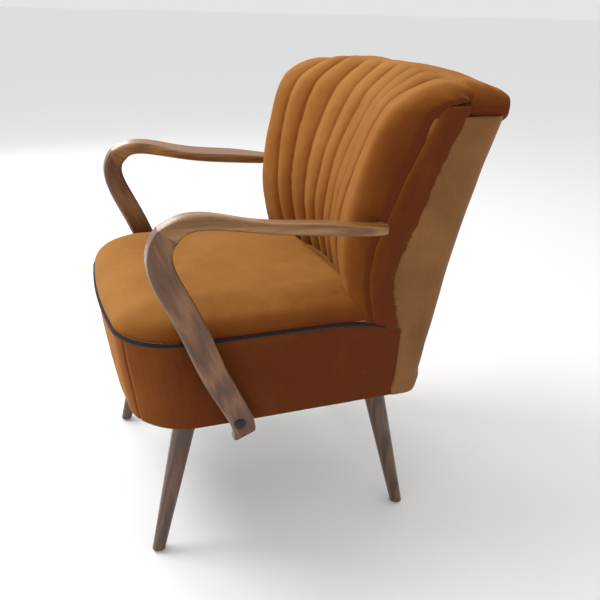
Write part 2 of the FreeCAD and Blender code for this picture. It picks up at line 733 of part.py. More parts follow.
def cushion_body(grow):
    """The fluted cushion, made larger by grow at its front and rear."""
    foot = below_welt(PIPING_R + SOFT_GAP)
    return loft([cushion_wire(z, grow) for z in levels()]).cut(foot)


def make_back(arm_blocks, screws):
    outline = front_outline()
    cushion = cushion_body(0.0).common(outline).common(between(0, BACK_TOP_Z + 6))
    stuffing = loft([stuffing_wire(z) for z in levels()[2:]])
    stuffing = stuffing.common(between(RAIL_TOP_Z + 68, POST_TOP_Z - 6)).cut(cushion_body(SOFT_GAP))
    for cutter in arm_blocks + screws:
        cushion = cushion.cut(cutter)
        stuffing = stuffing.cut(cutter)
    export("back_cushion", max(cushion.Solids, key=lambda s: s.Volume))
    export("back_stuffing", max(stuffing.Solids, key=lambda s: s.Volume))
    roll = head_roll(outline).cut(cushion_body(SOFT_GAP))
    export("head_roll", max(roll.Solids, key=lambda s: s.Volume))
    for name, sign in SIDES:
        wires = []
        for z in levels():
            w = half_width(z)
            y0, y1 = seam_y(z) + SOFT_GAP, band_y(z)
            path = [(w - BAND_T, y0), (w, y0), (w, y1), (w - BAND_T, y1), (w - BAND_T, y0)]
            wires.append(Part.makePolygon([Vector(sign * x, y, z) for x, y in path]))
        band = loft(wires).cut(below_welt(PIPING_R + SOFT_GAP)).cut(roll).common(outline)
        band = band.common(between(0, ROLL_FOOT_Z + 36))
        export(f"back_band_{name}", max(band.Solids, key=lambda s: s.Volume))
    low = SEAT_BOTTOM_Z
    outer = back_shell(0.0, OUTER_T).common(between(low, ROLL_FOOT_Z - SOFT_GAP))
    export("outer_back", outer)
    wadding = OUTER_T + SOFT_GAP
    shell = back_shell(wadding, wadding + WADDING_T).common(between(low + 4, ROLL_FOOT_Z - 4))
    rail = box(-SIDE_RAIL_X, SIDE_RAIL_X, 0, REAR_RAIL_Y + SOFT_GAP, 0, RAIL_TOP_Z + SOFT_GAP)
    room = [on_side(make_post(SOFT_GAP), sign) for name, sign in SIDES]
    for cutter in room + arm_blocks + [rail, outer]:
        shell = shell.cut(cutter)
    export("outer_back_wadding", max(shell.Solids, key=lambda s: s.Volume))


# ------------------------------------------------------------------ arms
def arm_section(y, z, angle, thickness, width, x, turn):
    """A rounded rectangle across the arm's own direction."""
    t = thickness / 2
    w = width / 2
    r = min(ARM_ROUND, t * 0.8, w * 0.8)
    k = r * (1 - math.sqrt(0.5))
    edges = []
    for sx, st, ex, et in ((1, 1, -1, 1), (-1, 1, -1, -1), (-1, -1, 1, -1), (1, -1, 1, 1)):
        if st == et:
            a, b = (sx * (w - r), st * t), (ex * (w - r), et * t)
            c, m = (ex * w, et * (t - r)), (ex * (w - k), et * (t - k))
        else:
            a, b = (sx * w, st * (t - r)), (ex * w, et * (t - r))
            c, m = (ex * (w - r), et * t), (ex * (w - k), et * (t - k))
        edges += [line(Vector(*a), Vector(*b)), arc(Vector(*b), Vector(*m), Vector(*c))]
    wire = Part.Wire(edges)
    tilt = Rotation(Vector(1, 0, 0), angle + 90) * Rotation(Vector(0, 0, 1), turn)
    wire.Placement = FreeCAD.Placement(Vector(x, y, z), tilt)
    return wire


def arm_piece(sections):
    return loft([arm_section(*values) for values in sections])


def make_arm_fixings():
    """Lower bolts, cap, washers and nuts, and the rear screws, for both sides."""
    lower = UPRIGHT_SECTIONS[0]
    outer_x = lower[5] + lower[4] / 2 + (BOLT_Z - lower[1]) * 0.11
    x_in = INNER_X - WASHER_T - NUT_T - 2.0
    bolt = cylinder((x_in, BOLT_Y, BOLT_Z), (1, 0, 0), BOLT_R, outer_x - x_in - 0.5)
    cap = cylinder((outer_x - 0.5, BOLT_Y, BOLT_Z), (1, 0, 0), CAP_R, CAP_H)
    cap = cap.makeFillet(CAP_H * 0.7, [cap.Edges[0]]) if cap.Edges else cap
    washer = cylinder((INNER_X - WASHER_T, BOLT_Y, BOLT_Z), (1, 0, 0), WASHER_R, WASHER_T).cut(bolt)
    hexagon = [
        (INNER_X - WASHER_T, BOLT_Y + NUT_R * math.cos(math.radians(60 * i)),
         BOLT_Z + NUT_R * math.sin(math.radians(60 * i)))
        for i in range(6)
    ]
    face = Part.Face(Part.makePolygon([Vector(*p) for p in hexagon + hexagon[:1]]))
    nut = face.extrude(Vector(-NUT_T, 0, 0)).cut(bolt)
    rear = ARMREST_SECTIONS[-1]
    arm_in = rear[5] - rear[4] / 2
    z0 = REAR_BOLT_Z - ARM_BLOCK_H / 2
    head_x = SIDE_RAIL_X + (z0 - RAIL_TOP_Z) * POST_TAN_X - ARM_BLOCK_IN - ARM_BLOCK_T
    screw_l = arm_in + REAR_BOLT_INTO_ARM - head_x
    screw = cylinder((head_x, REAR_BOLT_Y, REAR_BOLT_Z), (1, 0, 0), 2.6, screw_l)
    head = cylinder((head_x - 3.0, REAR_BOLT_Y, REAR_BOLT_Z), (1, 0, 0), 6.5, 3.0)
    return bolt, cap, washer, nut, screw.fuse(head).removeSplitter()


def make_arms(bolt, cap, screw):
    joint = ARMREST_SECTIONS[0]
    along = Vector(0, math.cos(math.radians(joint[2])), math.sin(math.radians(joint[2])))
    centre = Vector(joint[5], joint[0], joint[1])
    dowels = [
        Part.makeCylinder(DOWEL_R, DOWEL_L, centre + Vector(s * 8, 0, 0) - along * (DOWEL_L / 2), along)
        for s in (1, -1)
    ]
    upright = arm_piece(UPRIGHT_SECTIONS)
    armrest = arm_piece(ARMREST_SECTIONS).cut(screw)
    for cutter in (bolt, cap):
        upright = upright.cut(cutter)
    for dowel in dowels:
        upright = upright.cut(dowel)
        armrest = armrest.cut(dowel)
    for name, sign in SIDES:
        export(f"arm_upright_{name}", on_side(upright, sign))
        export(f"armrest_{name}", on_side(armrest, sign))
        export(f"bolt_cap_{name}", on_side(cap, sign))
    export("arm_dowels", *(on_side(d, sign) for d in dowels for name, sign in SIDES))


# ------------------------------------------------------------------ run
if __name__ == "__main__":
    os.makedirs("parts", exist_ok=True)
    leg_studs, leg_clearances = make_legs()
    lower_bolt, bolt_cap, bolt_washer, bolt_nut, rear_screw = make_arm_fixings()
    make_arms(lower_bolt, bolt_cap, rear_screw)
    pairs = [[on_side(item, sign) for name, sign in SIDES]
             for item in (lower_bolt, bolt_washer, bolt_nut, rear_screw)]
    for node, shapes in zip(("arm_bolts", "arm_bolt_washers", "arm_bolt_nuts", "armrest_screws"), pairs):
        export(node, *shapes)
    make_seat_upholstery(pairs[0], leg_clearances, cushion_body(SOFT_GAP))
    blocks_for_arms = make_frame(pairs[0] + pairs[3], leg_studs, leg_clearances)
    make_back(blocks_for_arms, pairs[3])
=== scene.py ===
"""The looks of an upholstered cocktail armchair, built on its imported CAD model.

Metres. +Z is up, the sitter faces -Y, and +X is the sitter's left. Shapes are measured from the
CAD nodes by casting rays at them, so each soft piece lies where its CAD solid is.
"""

import math

import bmesh
import bpy
from mathutils import Matrix, Vector, noise
from mathutils.bvhtree import BVHTree


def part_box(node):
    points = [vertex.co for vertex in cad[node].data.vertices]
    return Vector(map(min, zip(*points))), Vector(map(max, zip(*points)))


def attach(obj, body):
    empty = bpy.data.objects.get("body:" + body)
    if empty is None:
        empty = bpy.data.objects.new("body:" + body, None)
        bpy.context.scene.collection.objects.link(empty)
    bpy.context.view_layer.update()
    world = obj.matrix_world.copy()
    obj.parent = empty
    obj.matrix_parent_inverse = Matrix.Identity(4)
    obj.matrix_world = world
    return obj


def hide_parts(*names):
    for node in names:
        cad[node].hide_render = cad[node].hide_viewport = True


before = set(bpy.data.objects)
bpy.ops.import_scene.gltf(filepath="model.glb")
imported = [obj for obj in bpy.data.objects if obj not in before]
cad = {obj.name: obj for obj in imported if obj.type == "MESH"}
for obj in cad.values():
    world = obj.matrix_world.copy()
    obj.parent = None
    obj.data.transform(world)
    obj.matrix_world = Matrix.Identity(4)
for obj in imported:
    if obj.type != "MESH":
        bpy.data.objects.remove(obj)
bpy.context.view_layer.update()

MM = 0.001
TAU = 2 * math.pi
SIDES = (("left", 1), ("right", -1))

# ------------------------------------------------------------------ sizes
FLUTE_GROOVES = 8
FLUTE_DEPTH = 8.0 * MM
FLUTE_PITCH_FOOT = 40.0 * MM       # between grooves, at the seat
FLUTE_PITCH_TOP = 58.0 * MM        # between grooves, at the crest
FLUTE_FOOT_Z = 0.44
FLUTE_ROUNDNESS = 0.55
GROOVE_FADE = 11.0 * MM            # from the last groove into the side roll
SIDE_SHARE = 0.30                  # part of the inside back's half width that is side roll
KNEE_SHARE = 0.80                  # part of its length that lies below the crest
HOLLOW_DEEPER = ((0.40, 0.009), (0.50, 0.012), (0.60, 0.016), (0.65, 0.021), (0.70, 0.029))
SIDE_ROLL_PUFF = 3.5 * MM          # the side rolls stand proud of the channels
CREST_INSET = 38.0 * MM            # crest of the side roll, in from the side
TOP_CORNER_R = 46.0 * MM
END_DROP = 12.0 * MM
CREST_SINK = 9.0 * MM              # where the crest goes in under the head roll
BAND_T = 12.0 * MM
BAND_BULGE = 4.0 * MM
ROLL_SQUEEZE = 0.982
OUTER_CORNER_R = 26.0 * MM
OUTER_T = 1.6 * MM
SEAT_CORNER_R = 100.0 * MM
SEAT_BOW = 7.0 * MM
SEAM_ANGLE = 62.0                  # degrees round the front corner, from the side
SEAT_TUCK = 16.0 * MM              # border cloth turned under the frame
PIPING_R = 2.6 * MM
STITCH_PITCH = 9.0 * MM
SEWN_WAVE = 1.1 * MM
TACK_PITCH = 26.0 * MM
FLOOR_Z = -0.6 * MM


# ------------------------------------------------------------------ measuring the frame
def tree_of(*names):
    """One search tree over the meshes of these CAD nodes."""
    points, faces = [], []
    for name in names:
        mesh = cad[name].data
        start = len(points)
        points += [v.co.copy() for v in mesh.vertices]
        faces += [[start + i for i in p.vertices] for p in mesh.polygons]
    return BVHTree.FromPolygons(points, faces)


def cast(tree, origin, direction):
    """Where a ray first meets the tree, or None."""
    return tree.ray_cast(Vector(origin), Vector(direction))[0]


def smooth(points):
    """A function of the first coordinate that passes smoothly through the points."""
    xs = [p[0] for p in points]
    ys = [p[1] for p in points]
    last = len(xs) - 1
    slopes = []
    for i in range(last + 1):
        a, b = max(i - 1, 0), min(i + 1, last)
        slopes.append((ys[b] - ys[a]) / (xs[b] - xs[a]))

    def value(x):
        if x <= xs[0]:
            return ys[0] + (x - xs[0]) * slopes[0]
        if x >= xs[last]:
            return ys[last] + (x - xs[last]) * slopes[last]
        i = next(k for k in range(last) if x <= xs[k + 1])
        h = xs[i + 1] - xs[i]
        t = (x - xs[i]) / h
        return (
            (2 * t**3 - 3 * t**2 + 1) * ys[i]
            + (t**3 - 2 * t**2 + t) * h * slopes[i]
            + (3 * t**2 - 2 * t**3) * ys[i + 1]
            + (t**3 - t**2) * h * slopes[i + 1]
        )

    return value


def measured(tree, z0, z1, count, ray, axis):
    """A smooth function of height, from rays cast at several heights."""
    samples = []
    for i in range(count):
        z = z0 + (z1 - z0) * i / (count - 1)
        origin, direction = ray(z)
        found = cast(tree, origin, direction)
        if found is not None:
            samples.append((z, found[axis]))
    return smooth(samples)


back_skin = tree_of("back_band_left", "back_cushion", "outer_back")
band_tree = tree_of("back_band_left")
cushion_tree = tree_of("back_cushion")
outer_tree = tree_of("outer_back")
roll_low, roll_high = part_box("head_roll")
outer_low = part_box("outer_back")[0]
band_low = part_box("back_band_left")[0]
TOP_Z = roll_high.z
EDGE = 1.5 * MM



def side_x(z):
    """Largest half width of the back at one height."""
    hits = [cast(back_skin, (1, 0.10 + 0.02 * i, z), (-1, 0, 0)) for i in range(7)]
    return max(h.x for h in hits if h is not None)


half_width = smooth([(z, side_x(z)) for z in (0.245, 0.33, 0.42, 0.50, 0.58, 0.65, 0.70)])


def edge_ray(y, sign):
    return lambda z: ((half_width(z) - EDGE, y, z), (0, sign, 0))


seam_y = measured(band_tree, 0.40, 0.70, 7, edge_ray(-1, 1), 1)
band_y = measured(band_tree, 0.40, 0.70, 9, edge_ray(1, -1), 1)
crest_y = measured(
    cushion_tree, 0.41, 0.755, 8, lambda z: ((half_width(z) - CREST_INSET, -1, z), (0, 1, 0)), 1
)
hollow_y = measured(cushion_tree, 0.41, 0.755, 8, lambda z: ((0, -1, z), (0, 1, 0)), 1)
rear_side_y = measured(
    outer_tree, 0.37, 0.695, 6, lambda z: ((half_width(z) - 0.04, 1, z), (0, -1, 0)), 1
)
rear_mid_y = measured(outer_tree, 0.37, 0.695, 6, lambda z: ((0, 1, z), (0, -1, 0)), 1)
BORDER_END_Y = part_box("seat_border_cover")[1].y - 1.0 * MM


# ------------------------------------------------------------------ mesh helpers
def clamp(x, low=0.0, high=1.0):
    return max(low, min(high, x))


def ease(a, b, x):
    """0 before a, 1 after b, and smooth between."""
    t = clamp((x - a) / (b - a))
    return t * t * (3 - 2 * t)


def resample(points, count):
    """Points at equal distances along an open polyline."""
    lengths = [0.0]
    for a, b in zip(points, points[1:]):
        lengths.append(lengths[-1] + (Vector(b) - Vector(a)).length)
    result, k = [], 0
    for i in range(count):
        want = lengths[-1] * i / (count - 1)
        while k < len(points) - 2 and lengths[k + 1] < want:
            k += 1
        t = (want - lengths[k]) / max(lengths[k + 1] - lengths[k], 1e-9)
        result.append(Vector(points[k]).lerp(Vector(points[k + 1]), clamp(t)))
    return result


def wrap(tree, centre, direction, gap=0.5 * MM):
    """The point of the tree's surface seen from outside towards a centre, moved out by a gap."""
    direction = Vector(direction).normalized()
    found = cast(tree, Vector(centre) + direction * 0.6, -direction)
    return None if found is None else found + direction * gap


def relax(lines, passes, around=False):
    """Evens out a grid of points; its open edges stay."""
    rows, columns = len(lines), len(lines[0])
    for _ in range(passes):
        fresh = [list(line) for line in lines]
        for r in range(1, rows - 1):
            for c in range(0 if around else 1, columns if around else columns - 1):
                beside = lines[r][c - 1] + lines[r][(c + 1) % columns] + lines[r - 1][c] + lines[r + 1][c]
                fresh[r][c] = lines[r][c] * 0.5 + beside * 0.125
        lines = fresh
    return lines


def make_object(name, points, faces, material, smooth_faces=True):
    mesh = bpy.data.meshes.new(name)
    mesh.from_pydata([tuple(p) for p in points], [], faces)
    mesh.validate()
    bm = bmesh.new()
    bm.from_mesh(mesh)
    bmesh.ops.remove_doubles(bm, verts=bm.verts, dist=2e-6)
    bmesh.ops.recalc_face_normals(bm, faces=bm.faces)
    bm.to_mesh(mesh)
    bm.free()
    for polygon in mesh.polygons:
        polygon.use_smooth = smooth_faces
    mesh.materials.append(material)
    obj = bpy.data.objects.new(name, mesh)
    bpy.context.scene.collection.objects.link(obj)
    return obj


def grid_faces(rows, columns, around):
    """Quads of a grid of points, its columns joined round if around is set."""
    faces = []
    for r in range(rows - 1):
        for c in range(columns if around else columns - 1):
            d = (c + 1) % columns
            faces.append([r * columns + c, r * columns + d, (r + 1) * columns + d, (r + 1) * columns + c])
    return faces


def loft_rows(name, rows, material, around=True, caps=True):
    """A surface through rows of points. Closed rows can be capped at both ends."""
    columns = len(rows[0])
    points = [p for row in rows for p in row]
    faces = grid_faces(len(rows), columns, around)
    if around and caps:
        for start in (0, (len(rows) - 1) * columns):
            ring = list(range(start, start + columns))
            middle = sum((Vector(points[i]) for i in ring), Vector()) / columns
            points.append(middle)
            faces += [[ring[i], ring[(i + 1) % columns], len(points) - 1] for i in range(columns)]
    return make_object(name, points, faces, material)


def two_sided(name, front, back, material):
    """A closed sheet or pad from two grids of points, joined along their borders."""
    rows, columns = len(front), len(front[0])
    other = rows * columns
    points = [p for line in front + back for p in line]
    faces = grid_faces(rows, columns, False)
    faces += [[i + other for i in reversed(f)] for f in faces]
    border = [(0, c) for c in range(columns)] + [(r, columns - 1) for r in range(1, rows)]
    border += [(rows - 1, c) for c in range(columns - 2, -1, -1)] + [(r, 0) for r in range(rows - 2, 0, -1)]
    ring = [r * columns + c for r, c in border]
    for a, b in zip(ring, ring[1:] + ring[:1]):
        faces.append([a, b, b + other, a + other])
    return make_object(name, points, faces, material)


def sewn_wave(z):
    """How far the hand-sewn edge strays at one height."""
    return math.sin(z * 240 + 2 * math.sin(z * 60)) * SEWN_WAVE


def fluff(p, size, amount, seed=0.0):
    """A small smooth random number for a point, for cloth that isn't perfectly even."""
    return noise.noise((Vector(p) + Vector((seed, seed * 0.7, 0))) / size) * amount


def tube(name, path, radius, material, sides):
    """A round cord along a path."""
    rows = []
    last = len(path) - 1
    for i, p in enumerate(path):
        a, b = path[max(i - 1, 0)], path[min(i + 1, last)]
        along = (Vector(b) - Vector(a)).normalized()
        side = along.cross(Vector((0, 0, 1)))
        if side.length < 0.1:
            side = along.cross(Vector((0, 1, 0)))
        side.normalize()
        up = side.cross(along)
        ring = [TAU * k / sides for k in range(sides)]
        rows.append([Vector(p) + side * (radius * math.cos(a)) + up * (radius * math.sin(a)) for a in ring])
    return loft_rows(name, rows, material)


def lathe(name, profile, centre, axis, material, sides=40):
    """A turned piece: profile holds (distance along the axis, radius)."""
    turn = Vector((0, 0, 1)).rotation_difference(Vector(axis)).to_matrix()
    rows = []
    for along, radius in profile:
        ring = [TAU * k / sides for k in range(sides)]
        rows.append([
            Vector(centre) + turn @ Vector((radius * math.cos(a), radius * math.sin(a), along))
            for a in ring
        ])
    return loft_rows(name, rows, material)


def finish_piece(obj, slot, *nodes):
    if nodes:
        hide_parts(*nodes)
    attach(obj, "root")
    return obj


# ------------------------------------------------------------------ materials
class Shader:
    """A material and a short way to add nodes to it."""

    def __init__(self, name):
        self.material = bpy.data.materials.new(name)
        self.material.use_nodes = True
        self.nodes = self.material.node_tree.nodes
        self.links = self.material.node_tree.links
        self.principled = self.nodes["Principled BSDF"]

    def add(self, kind, inputs=None, **settings):
        node = self.nodes.new(kind)
        for key, value in settings.items():
            setattr(node, key, value)
        for key, value in (inputs or {}).items():
            self.put(node, key, value)
        return node

    def put(self, node, key, value):
        if isinstance(value, bpy.types.NodeSocket):
            self.links.new(value, node.inputs[key])
        else:
            node.inputs[key].default_value = value

    def set(self, **inputs):
        for key, value in inputs.items():
            self.put(self.principled, key.replace("_", " "), value)

    def position(self, scale=(1, 1, 1), rotation=(0, 0, 0)):
        """Coordinates in the shared frame, turned and scaled."""
        source = self.add("ShaderNodeTexCoord").outputs["Object"]
        turned = self.add("ShaderNodeMapping", {"Vector": source, "Rotation": rotation})
        sized = self.add("ShaderNodeMapping", {"Vector": turned.outputs[0], "Scale": scale})
        return sized.outputs[0]

    def noise(self, vector, scale, detail=4.0, roughness=0.55, distortion=0.0):
        return self.add(
            "ShaderNodeTexNoise",
            {"Vector": vector, "Scale": scale, "Detail": detail, "Roughness": roughness,
             "Distortion": distortion},
        ).outputs["Fac"]

    def ramp(self, value, *stops):
        """Colours or greys at given places along 0 to 1."""
        node = self.add("ShaderNodeValToRGB", {"Fac": value})
        elements = node.color_ramp.elements
        while len(elements) < len(stops):
            elements.new(0.5)
        for element, (place, colour) in zip(elements, stops):
            element.position = place
            if isinstance(colour, (int, float)):
                colour = (colour, colour, colour)
            element.color = (*colour, 1)
        return node.outputs["Color"]

    def math(self, operation, a, b=0.0, c=0.0):
        return self.add("ShaderNodeMath", {0: a, 1: b, 2: c}, operation=operation).outputs[0]

    def mix(self, factor, a, b, kind="MIX"):
        node = self.add("ShaderNodeMix", data_type="RGBA", blend_type=kind)
        self.put(node, 0, factor)
        for index, value in ((6, a), (7, b)):
            if not isinstance(value, bpy.types.NodeSocket):
                value = (*value, 1) if len(value) == 3 else value
            self.put(node, index, value)
        return node.outputs[2]

    def bump(self, height, strength, distance, normal=None):
        node = self.add("ShaderNodeBump", {"Height": height, "Strength": strength, "Distance": distance})
        if normal is not None:
            self.put(node, "Normal", normal)
        return node.outputs[0]

    def normal(self):
        """The way the surface faces, split into X, Y and Z."""
        facing = self.add("ShaderNodeNewGeometry").outputs["Normal"]
        return self.add("ShaderNodeSeparateXYZ", {0: facing})


def velvet(name, light, mid, dark, wear=0.5):
    """Short-pile velvet with painted light and shade: lighter where the surface faces up or forward, darker
    where it faces sideways or rearward.
    """
    s = Shader(name)
    where = s.position()
    split = s.normal()
    # Painted light and shade: the tone is lighter on faces that point up or forward and darker on faces that
    # point sideways or rearward.
    level = s.math("MULTIPLY_ADD", split.outputs["Z"], 0.30, 0.46)
    level = s.math("MULTIPLY_ADD", s.math("ABSOLUTE", split.outputs["X"]), -0.34, level)
    level = s.math("MULTIPLY_ADD", split.outputs["Y"], -0.24, level)
    brushed = s.noise(s.position(scale=(1, 1, 0.5)), 8.0, 4.0, 0.6)
    level = s.math("MULTIPLY_ADD", brushed, 0.55, s.math("SUBTRACT", level, 0.27))
    # The ramp turns this painted light level into the shaded, middle and lit tones of the velvet.
    base = s.ramp(level, (0.12, dark), (0.48, mid), (0.88, light))
    pile = s.noise(where, 900.0, 2.0, 0.7)
    streak = s.noise(s.position(scale=(1, 1, 0.12)), 260.0, 3.0, 0.6)
    grain = s.ramp(pile, (0.3, 0.80), (0.7, 1.15))
    base = s.mix(1.0, base, grain, "MULTIPLY")
    stain = s.noise(where, 14.0, 5.0, 0.7)
    worn = s.ramp(stain, (0.60, 0.0), (0.78, 1.0))
    base = s.mix(s.math("MULTIPLY", worn, 0.22 * wear), base, tuple(c * 0.55 + 0.05 for c in mid))
    s.set(Base_Color=base, Roughness=0.92, Sheen_Weight=0.30, Sheen_Roughness=0.35)
    s.set(Sheen_Tint=(min(light[0] * 2.4, 1), min(light[1] * 2.6, 1), min(light[2] * 3.0, 1), 1))
    s.set(Specular_IOR_Level=0.12)
    rough = s.bump(pile, 0.35, 0.0006)
    s.set(Normal=s.bump(streak, 0.25, 0.0012, rough))
    return s.material


def woven(name, colour, thread=1400.0, contrast=0.25, bump=0.4, roughness=0.85, sheen=0.15):
    """Plain weave cloth, with threads along two directions."""
    s = Shader(name)
    where = s.position()
    height = None
    for rotation in ((0, 0, 0.35), (1.2, 0, 0.35)):
        turned = s.position(rotation=rotation)
        wave = s.add(
            "ShaderNodeTexWave",
            {"Vector": turned, "Scale": thread / 20.0, "Distortion": 1.5, "Detail": 2.0,
             "Detail Scale": 3.0},
            bands_direction="X" if height is None else "Z",
        ).outputs["Fac"]
        height = wave if height is None else s.math("ADD", wave, height)
    patches = s.noise(where, 7.0, 4.0, 0.6)
    tone = s.ramp(patches, (0.3, tuple(c * (1 - contrast) for c in colour)),
                  (0.7, tuple(c * (1 + contrast) for c in colour)))
    fibre = s.ramp(s.noise(where, 700.0, 2.0, 0.7), (0.3, 0.8), (0.7, 1.15))
    s.set(Base_Color=s.mix(1.0, tone, fibre, "MULTIPLY"), Roughness=roughness, Sheen_Weight=sheen)
    s.set(Specular_IOR_Level=0.2, Normal=s.bump(height, bump, 0.0003))
    return s.material


def wood(name, light, mid, dark, grain_turn, roughness=0.36, coat=0.25, wear=0.4):
    """Varnished wood with its grain along the piece."""
    s = Shader(name)
    along = s.position(scale=(1, 1, 0.07), rotation=grain_turn)
    rings = s.add(
        "ShaderNodeTexWave",
        {"Vector": along, "Scale": 34.0, "Distortion": 5.0, "Detail": 4.0, "Detail Scale": 1.6},
        bands_direction="X",
    ).outputs["Fac"]
    fibres = s.noise(s.position(scale=(1, 1, 0.04), rotation=grain_turn), 420.0, 5.0, 0.65)
    broad = s.noise(s.position(scale=(1, 1, 0.3), rotation=grain_turn), 14.0, 4.0, 0.6)
    level = s.math("ADD", s.math("MULTIPLY", rings, 0.28), s.math("MULTIPLY", fibres, 0.42))
    level = s.math("ADD", level, s.math("MULTIPLY", broad, 0.36))
    colour = s.ramp(level, (0.30, dark), (0.55, mid), (0.78, light))
    flecks = s.noise(s.position(scale=(1, 1, 0.16), rotation=grain_turn), 900.0, 2.0, 0.5)
    colour = s.mix(s.ramp(flecks, (0.62, 0.0), (0.72, 0.5)), colour, tuple(c * 0.5 for c in dark))
    rubbed = s.ramp(s.noise(s.position(), 22.0, 5.0, 0.65), (0.56, 0.0), (0.74, 1.0))
    colour = s.mix(s.math("MULTIPLY", rubbed, wear * 0.35), colour, light)
    gloss = s.math("ADD", s.math("MULTIPLY", broad, 0.25), roughness - 0.12)
    s.set(Base_Color=colour, Roughness=gloss, Coat_Weight=coat, Coat_Roughness=0.22)
    s.set(Normal=s.bump(fibres, 0.12, 0.0004))
    return s.material


def metal(name, colour, roughness=0.3, metallic=1.0, scratch=0.3):
    s = Shader(name)
    marks = s.noise(s.position(scale=(1, 1, 0.2)), 300.0, 4.0, 0.7)
    dull = s.noise(s.position(), 60.0, 4.0, 0.6)
    tone = s.ramp(dull, (0.3, tuple(c * 0.7 for c in colour)), (0.7, colour))
    rough = s.math("ADD", s.math("MULTIPLY", marks, scratch * 0.5), roughness)
    s.set(Base_Color=tone, Metallic=metallic, Roughness=rough, Normal=s.bump(marks, 0.08, 0.0002))
    return s.material


# The one rust velvet in a lit, a middle and a shaded tone; which tone shows is painted light and shade, set
# by the way the surface faces.
VELVET_LIT = (0.36, 0.160, 0.036)
VELVET_MID = (0.215, 0.068, 0.010)
VELVET_SHADED = (0.130, 0.028, 0.005)
velvet_seat = velvet("velvet_seat", VELVET_LIT, VELVET_MID, VELVET_SHADED)
# A darker copy of the seat velvet for the side bands and the seat border: painted shade on the sides.
velvet_side_shaded = velvet("velvet_side_shaded", VELVET_LIT, (0.210, 0.060, 0.009), (0.115, 0.025, 0.005), 0.8)
velvet_back = velvet("velvet_back", (0.37, 0.158, 0.036), (0.220, 0.066, 0.009), (0.115, 0.023, 0.004))
cloth_outer = woven("cloth_outer", (0.235, 0.098, 0.026))
cloth_piping = woven("cloth_piping", (0.014, 0.009, 0.011), 2400.0)
cloth_dust = woven("cloth_dust", (0.045, 0.036, 0.03))
thread = woven("thread", (0.13, 0.05, 0.018), 3000.0)
jute = woven("jute", (0.35, 0.25, 0.14), 700.0, 0.3, 0.8)
hair = woven("hair", (0.30, 0.24, 0.17), 500.0, 0.4, 1.0)
UPRIGHT_TURN = (math.radians(-22), 0, 0)
RAIL_TURN = (math.radians(90), 0, 0)
BEECH = ((0.25, 0.112, 0.036), (0.155, 0.060, 0.018), (0.065, 0.022, 0.007))
wood_upright = wood("wood_upright", *BEECH, UPRIGHT_TURN)
ARMREST = ((0.37, 0.180, 0.050), (0.25, 0.108, 0.027), (0.12, 0.043, 0.011))
WALNUT = ((0.145, 0.064, 0.025), (0.082, 0.033, 0.012), (0.03, 0.011, 0.004))
BARE_BEECH = ((0.62, 0.44, 0.26), (0.5, 0.34, 0.19), (0.36, 0.22, 0.11))
wood_armrest = wood("wood_armrest", *ARMREST, RAIL_TURN)
wood_leg = wood("wood_leg", *WALNUT, (0, 0, 0), 0.34, 0.3)
wood_frame = wood("wood_frame", *BARE_BEECH, RAIL_TURN, 0.7, 0.0)
steel = metal("steel", (0.55, 0.54, 0.52))
steel_glide = metal("steel_glide", (0.62, 0.60, 0.57), 0.22)
cap_dark = metal("cap_dark", (0.035, 0.028, 0.028), 0.32, 0.6)


# ------------------------------------------------------------------ inside back
def flute_pitch(z):
    share = (z - FLUTE_FOOT_Z) / (TOP_Z - FLUTE_FOOT_Z)
    return FLUTE_PITCH_FOOT + (FLUTE_PITCH_TOP - FLUTE_PITCH_FOOT) * share


def flute(x, z):
    """Height of the fluted surface over its grooves, from 0 to 1."""
    pitch = flute_pitch(z)
    last_groove = (FLUTE_GROOVES - 1) / 2
    place = abs(x) / pitch
    if place > last_groove:
        beyond = (place - last_groove) * pitch
        return 1.0 - math.exp(-beyond / GROOVE_FADE)
    return abs(math.cos(math.pi * place)) ** FLUTE_ROUNDNESS


extra_hollow = smooth(HOLLOW_DEEPER)


def plan_point(u, z):
    """A point of the inside back at one height; u runs from -1 to 1 between the side seams."""
    w = half_width(z)
    seam, crest, hollow = seam_y(z), crest_y(z), hollow_y(z) + extra_hollow(clamp(z, 0.40, 0.70))
    a = abs(u)
    if a > 1 - SIDE_SHARE:
        t = (a - (1 - SIDE_SHARE)) / SIDE_SHARE
        angle = t * math.pi / 2
        x = w - CREST_INSET + CREST_INSET * math.sin(angle)
        y = crest + (seam - crest) * (1 - math.cos(angle))
        return math.copysign(x, u), y
    t = a / (1 - SIDE_SHARE)
    x = (w - CREST_INSET) * t
    dip = 0.5 + 0.5 * math.cos(math.pi * t**1.25)
    return math.copysign(x, u), crest + (hollow - crest) * dip


def end_drop(x):
    """How far the crest and the head roll sink towards their two ends."""
    return END_DROP * ease(0.45, 1.0, abs(x) / roll_high.x)


def crest_top(x, w):
    """Height of the back's top edge, lower round its two corners."""
    past = clamp((abs(x) - (w - TOP_CORNER_R)) / TOP_CORNER_R)
    return TOP_Z - 0.5 * MM - end_drop(x) - TOP_CORNER_R * (1 - math.sqrt(1 - past * past * 0.92))


FOOT_Z = band_low.z + 0.018
KNEE_Z = TOP_Z - 0.056
roll_tree = tree_of("head_roll")
CREST_END_Y = roll_low.y + 0.040


def back_surface(u, v):
    """The inside back; v runs from the seat (0) over the top (1)."""
    w_top = half_width(TOP_Z - 0.03)
    if v < KNEE_SHARE:
        z = FOOT_Z + (KNEE_Z - FOOT_Z) * (v / KNEE_SHARE)
        x, y = plan_point(u, z)
        return Vector((x, y, z)), 0.0
    angle = (v - KNEE_SHARE) / (1 - KNEE_SHARE) * math.pi / 2
    top = crest_top(plan_point(u, KNEE_Z)[0], w_top)
    z = KNEE_Z + (top - KNEE_Z) * math.sin(angle)
    x, y = plan_point(u, z)
    y += (CREST_END_Y - y) * (1 - math.cos(angle)) ** 1.1
    sunk = ease(1.0, 1.57, angle)
    z -= CREST_SINK * sunk
    x *= 1 - 0.05 * sunk * ease(0.75, 1.0, abs(u))
    return Vector((x, y, z)), angle


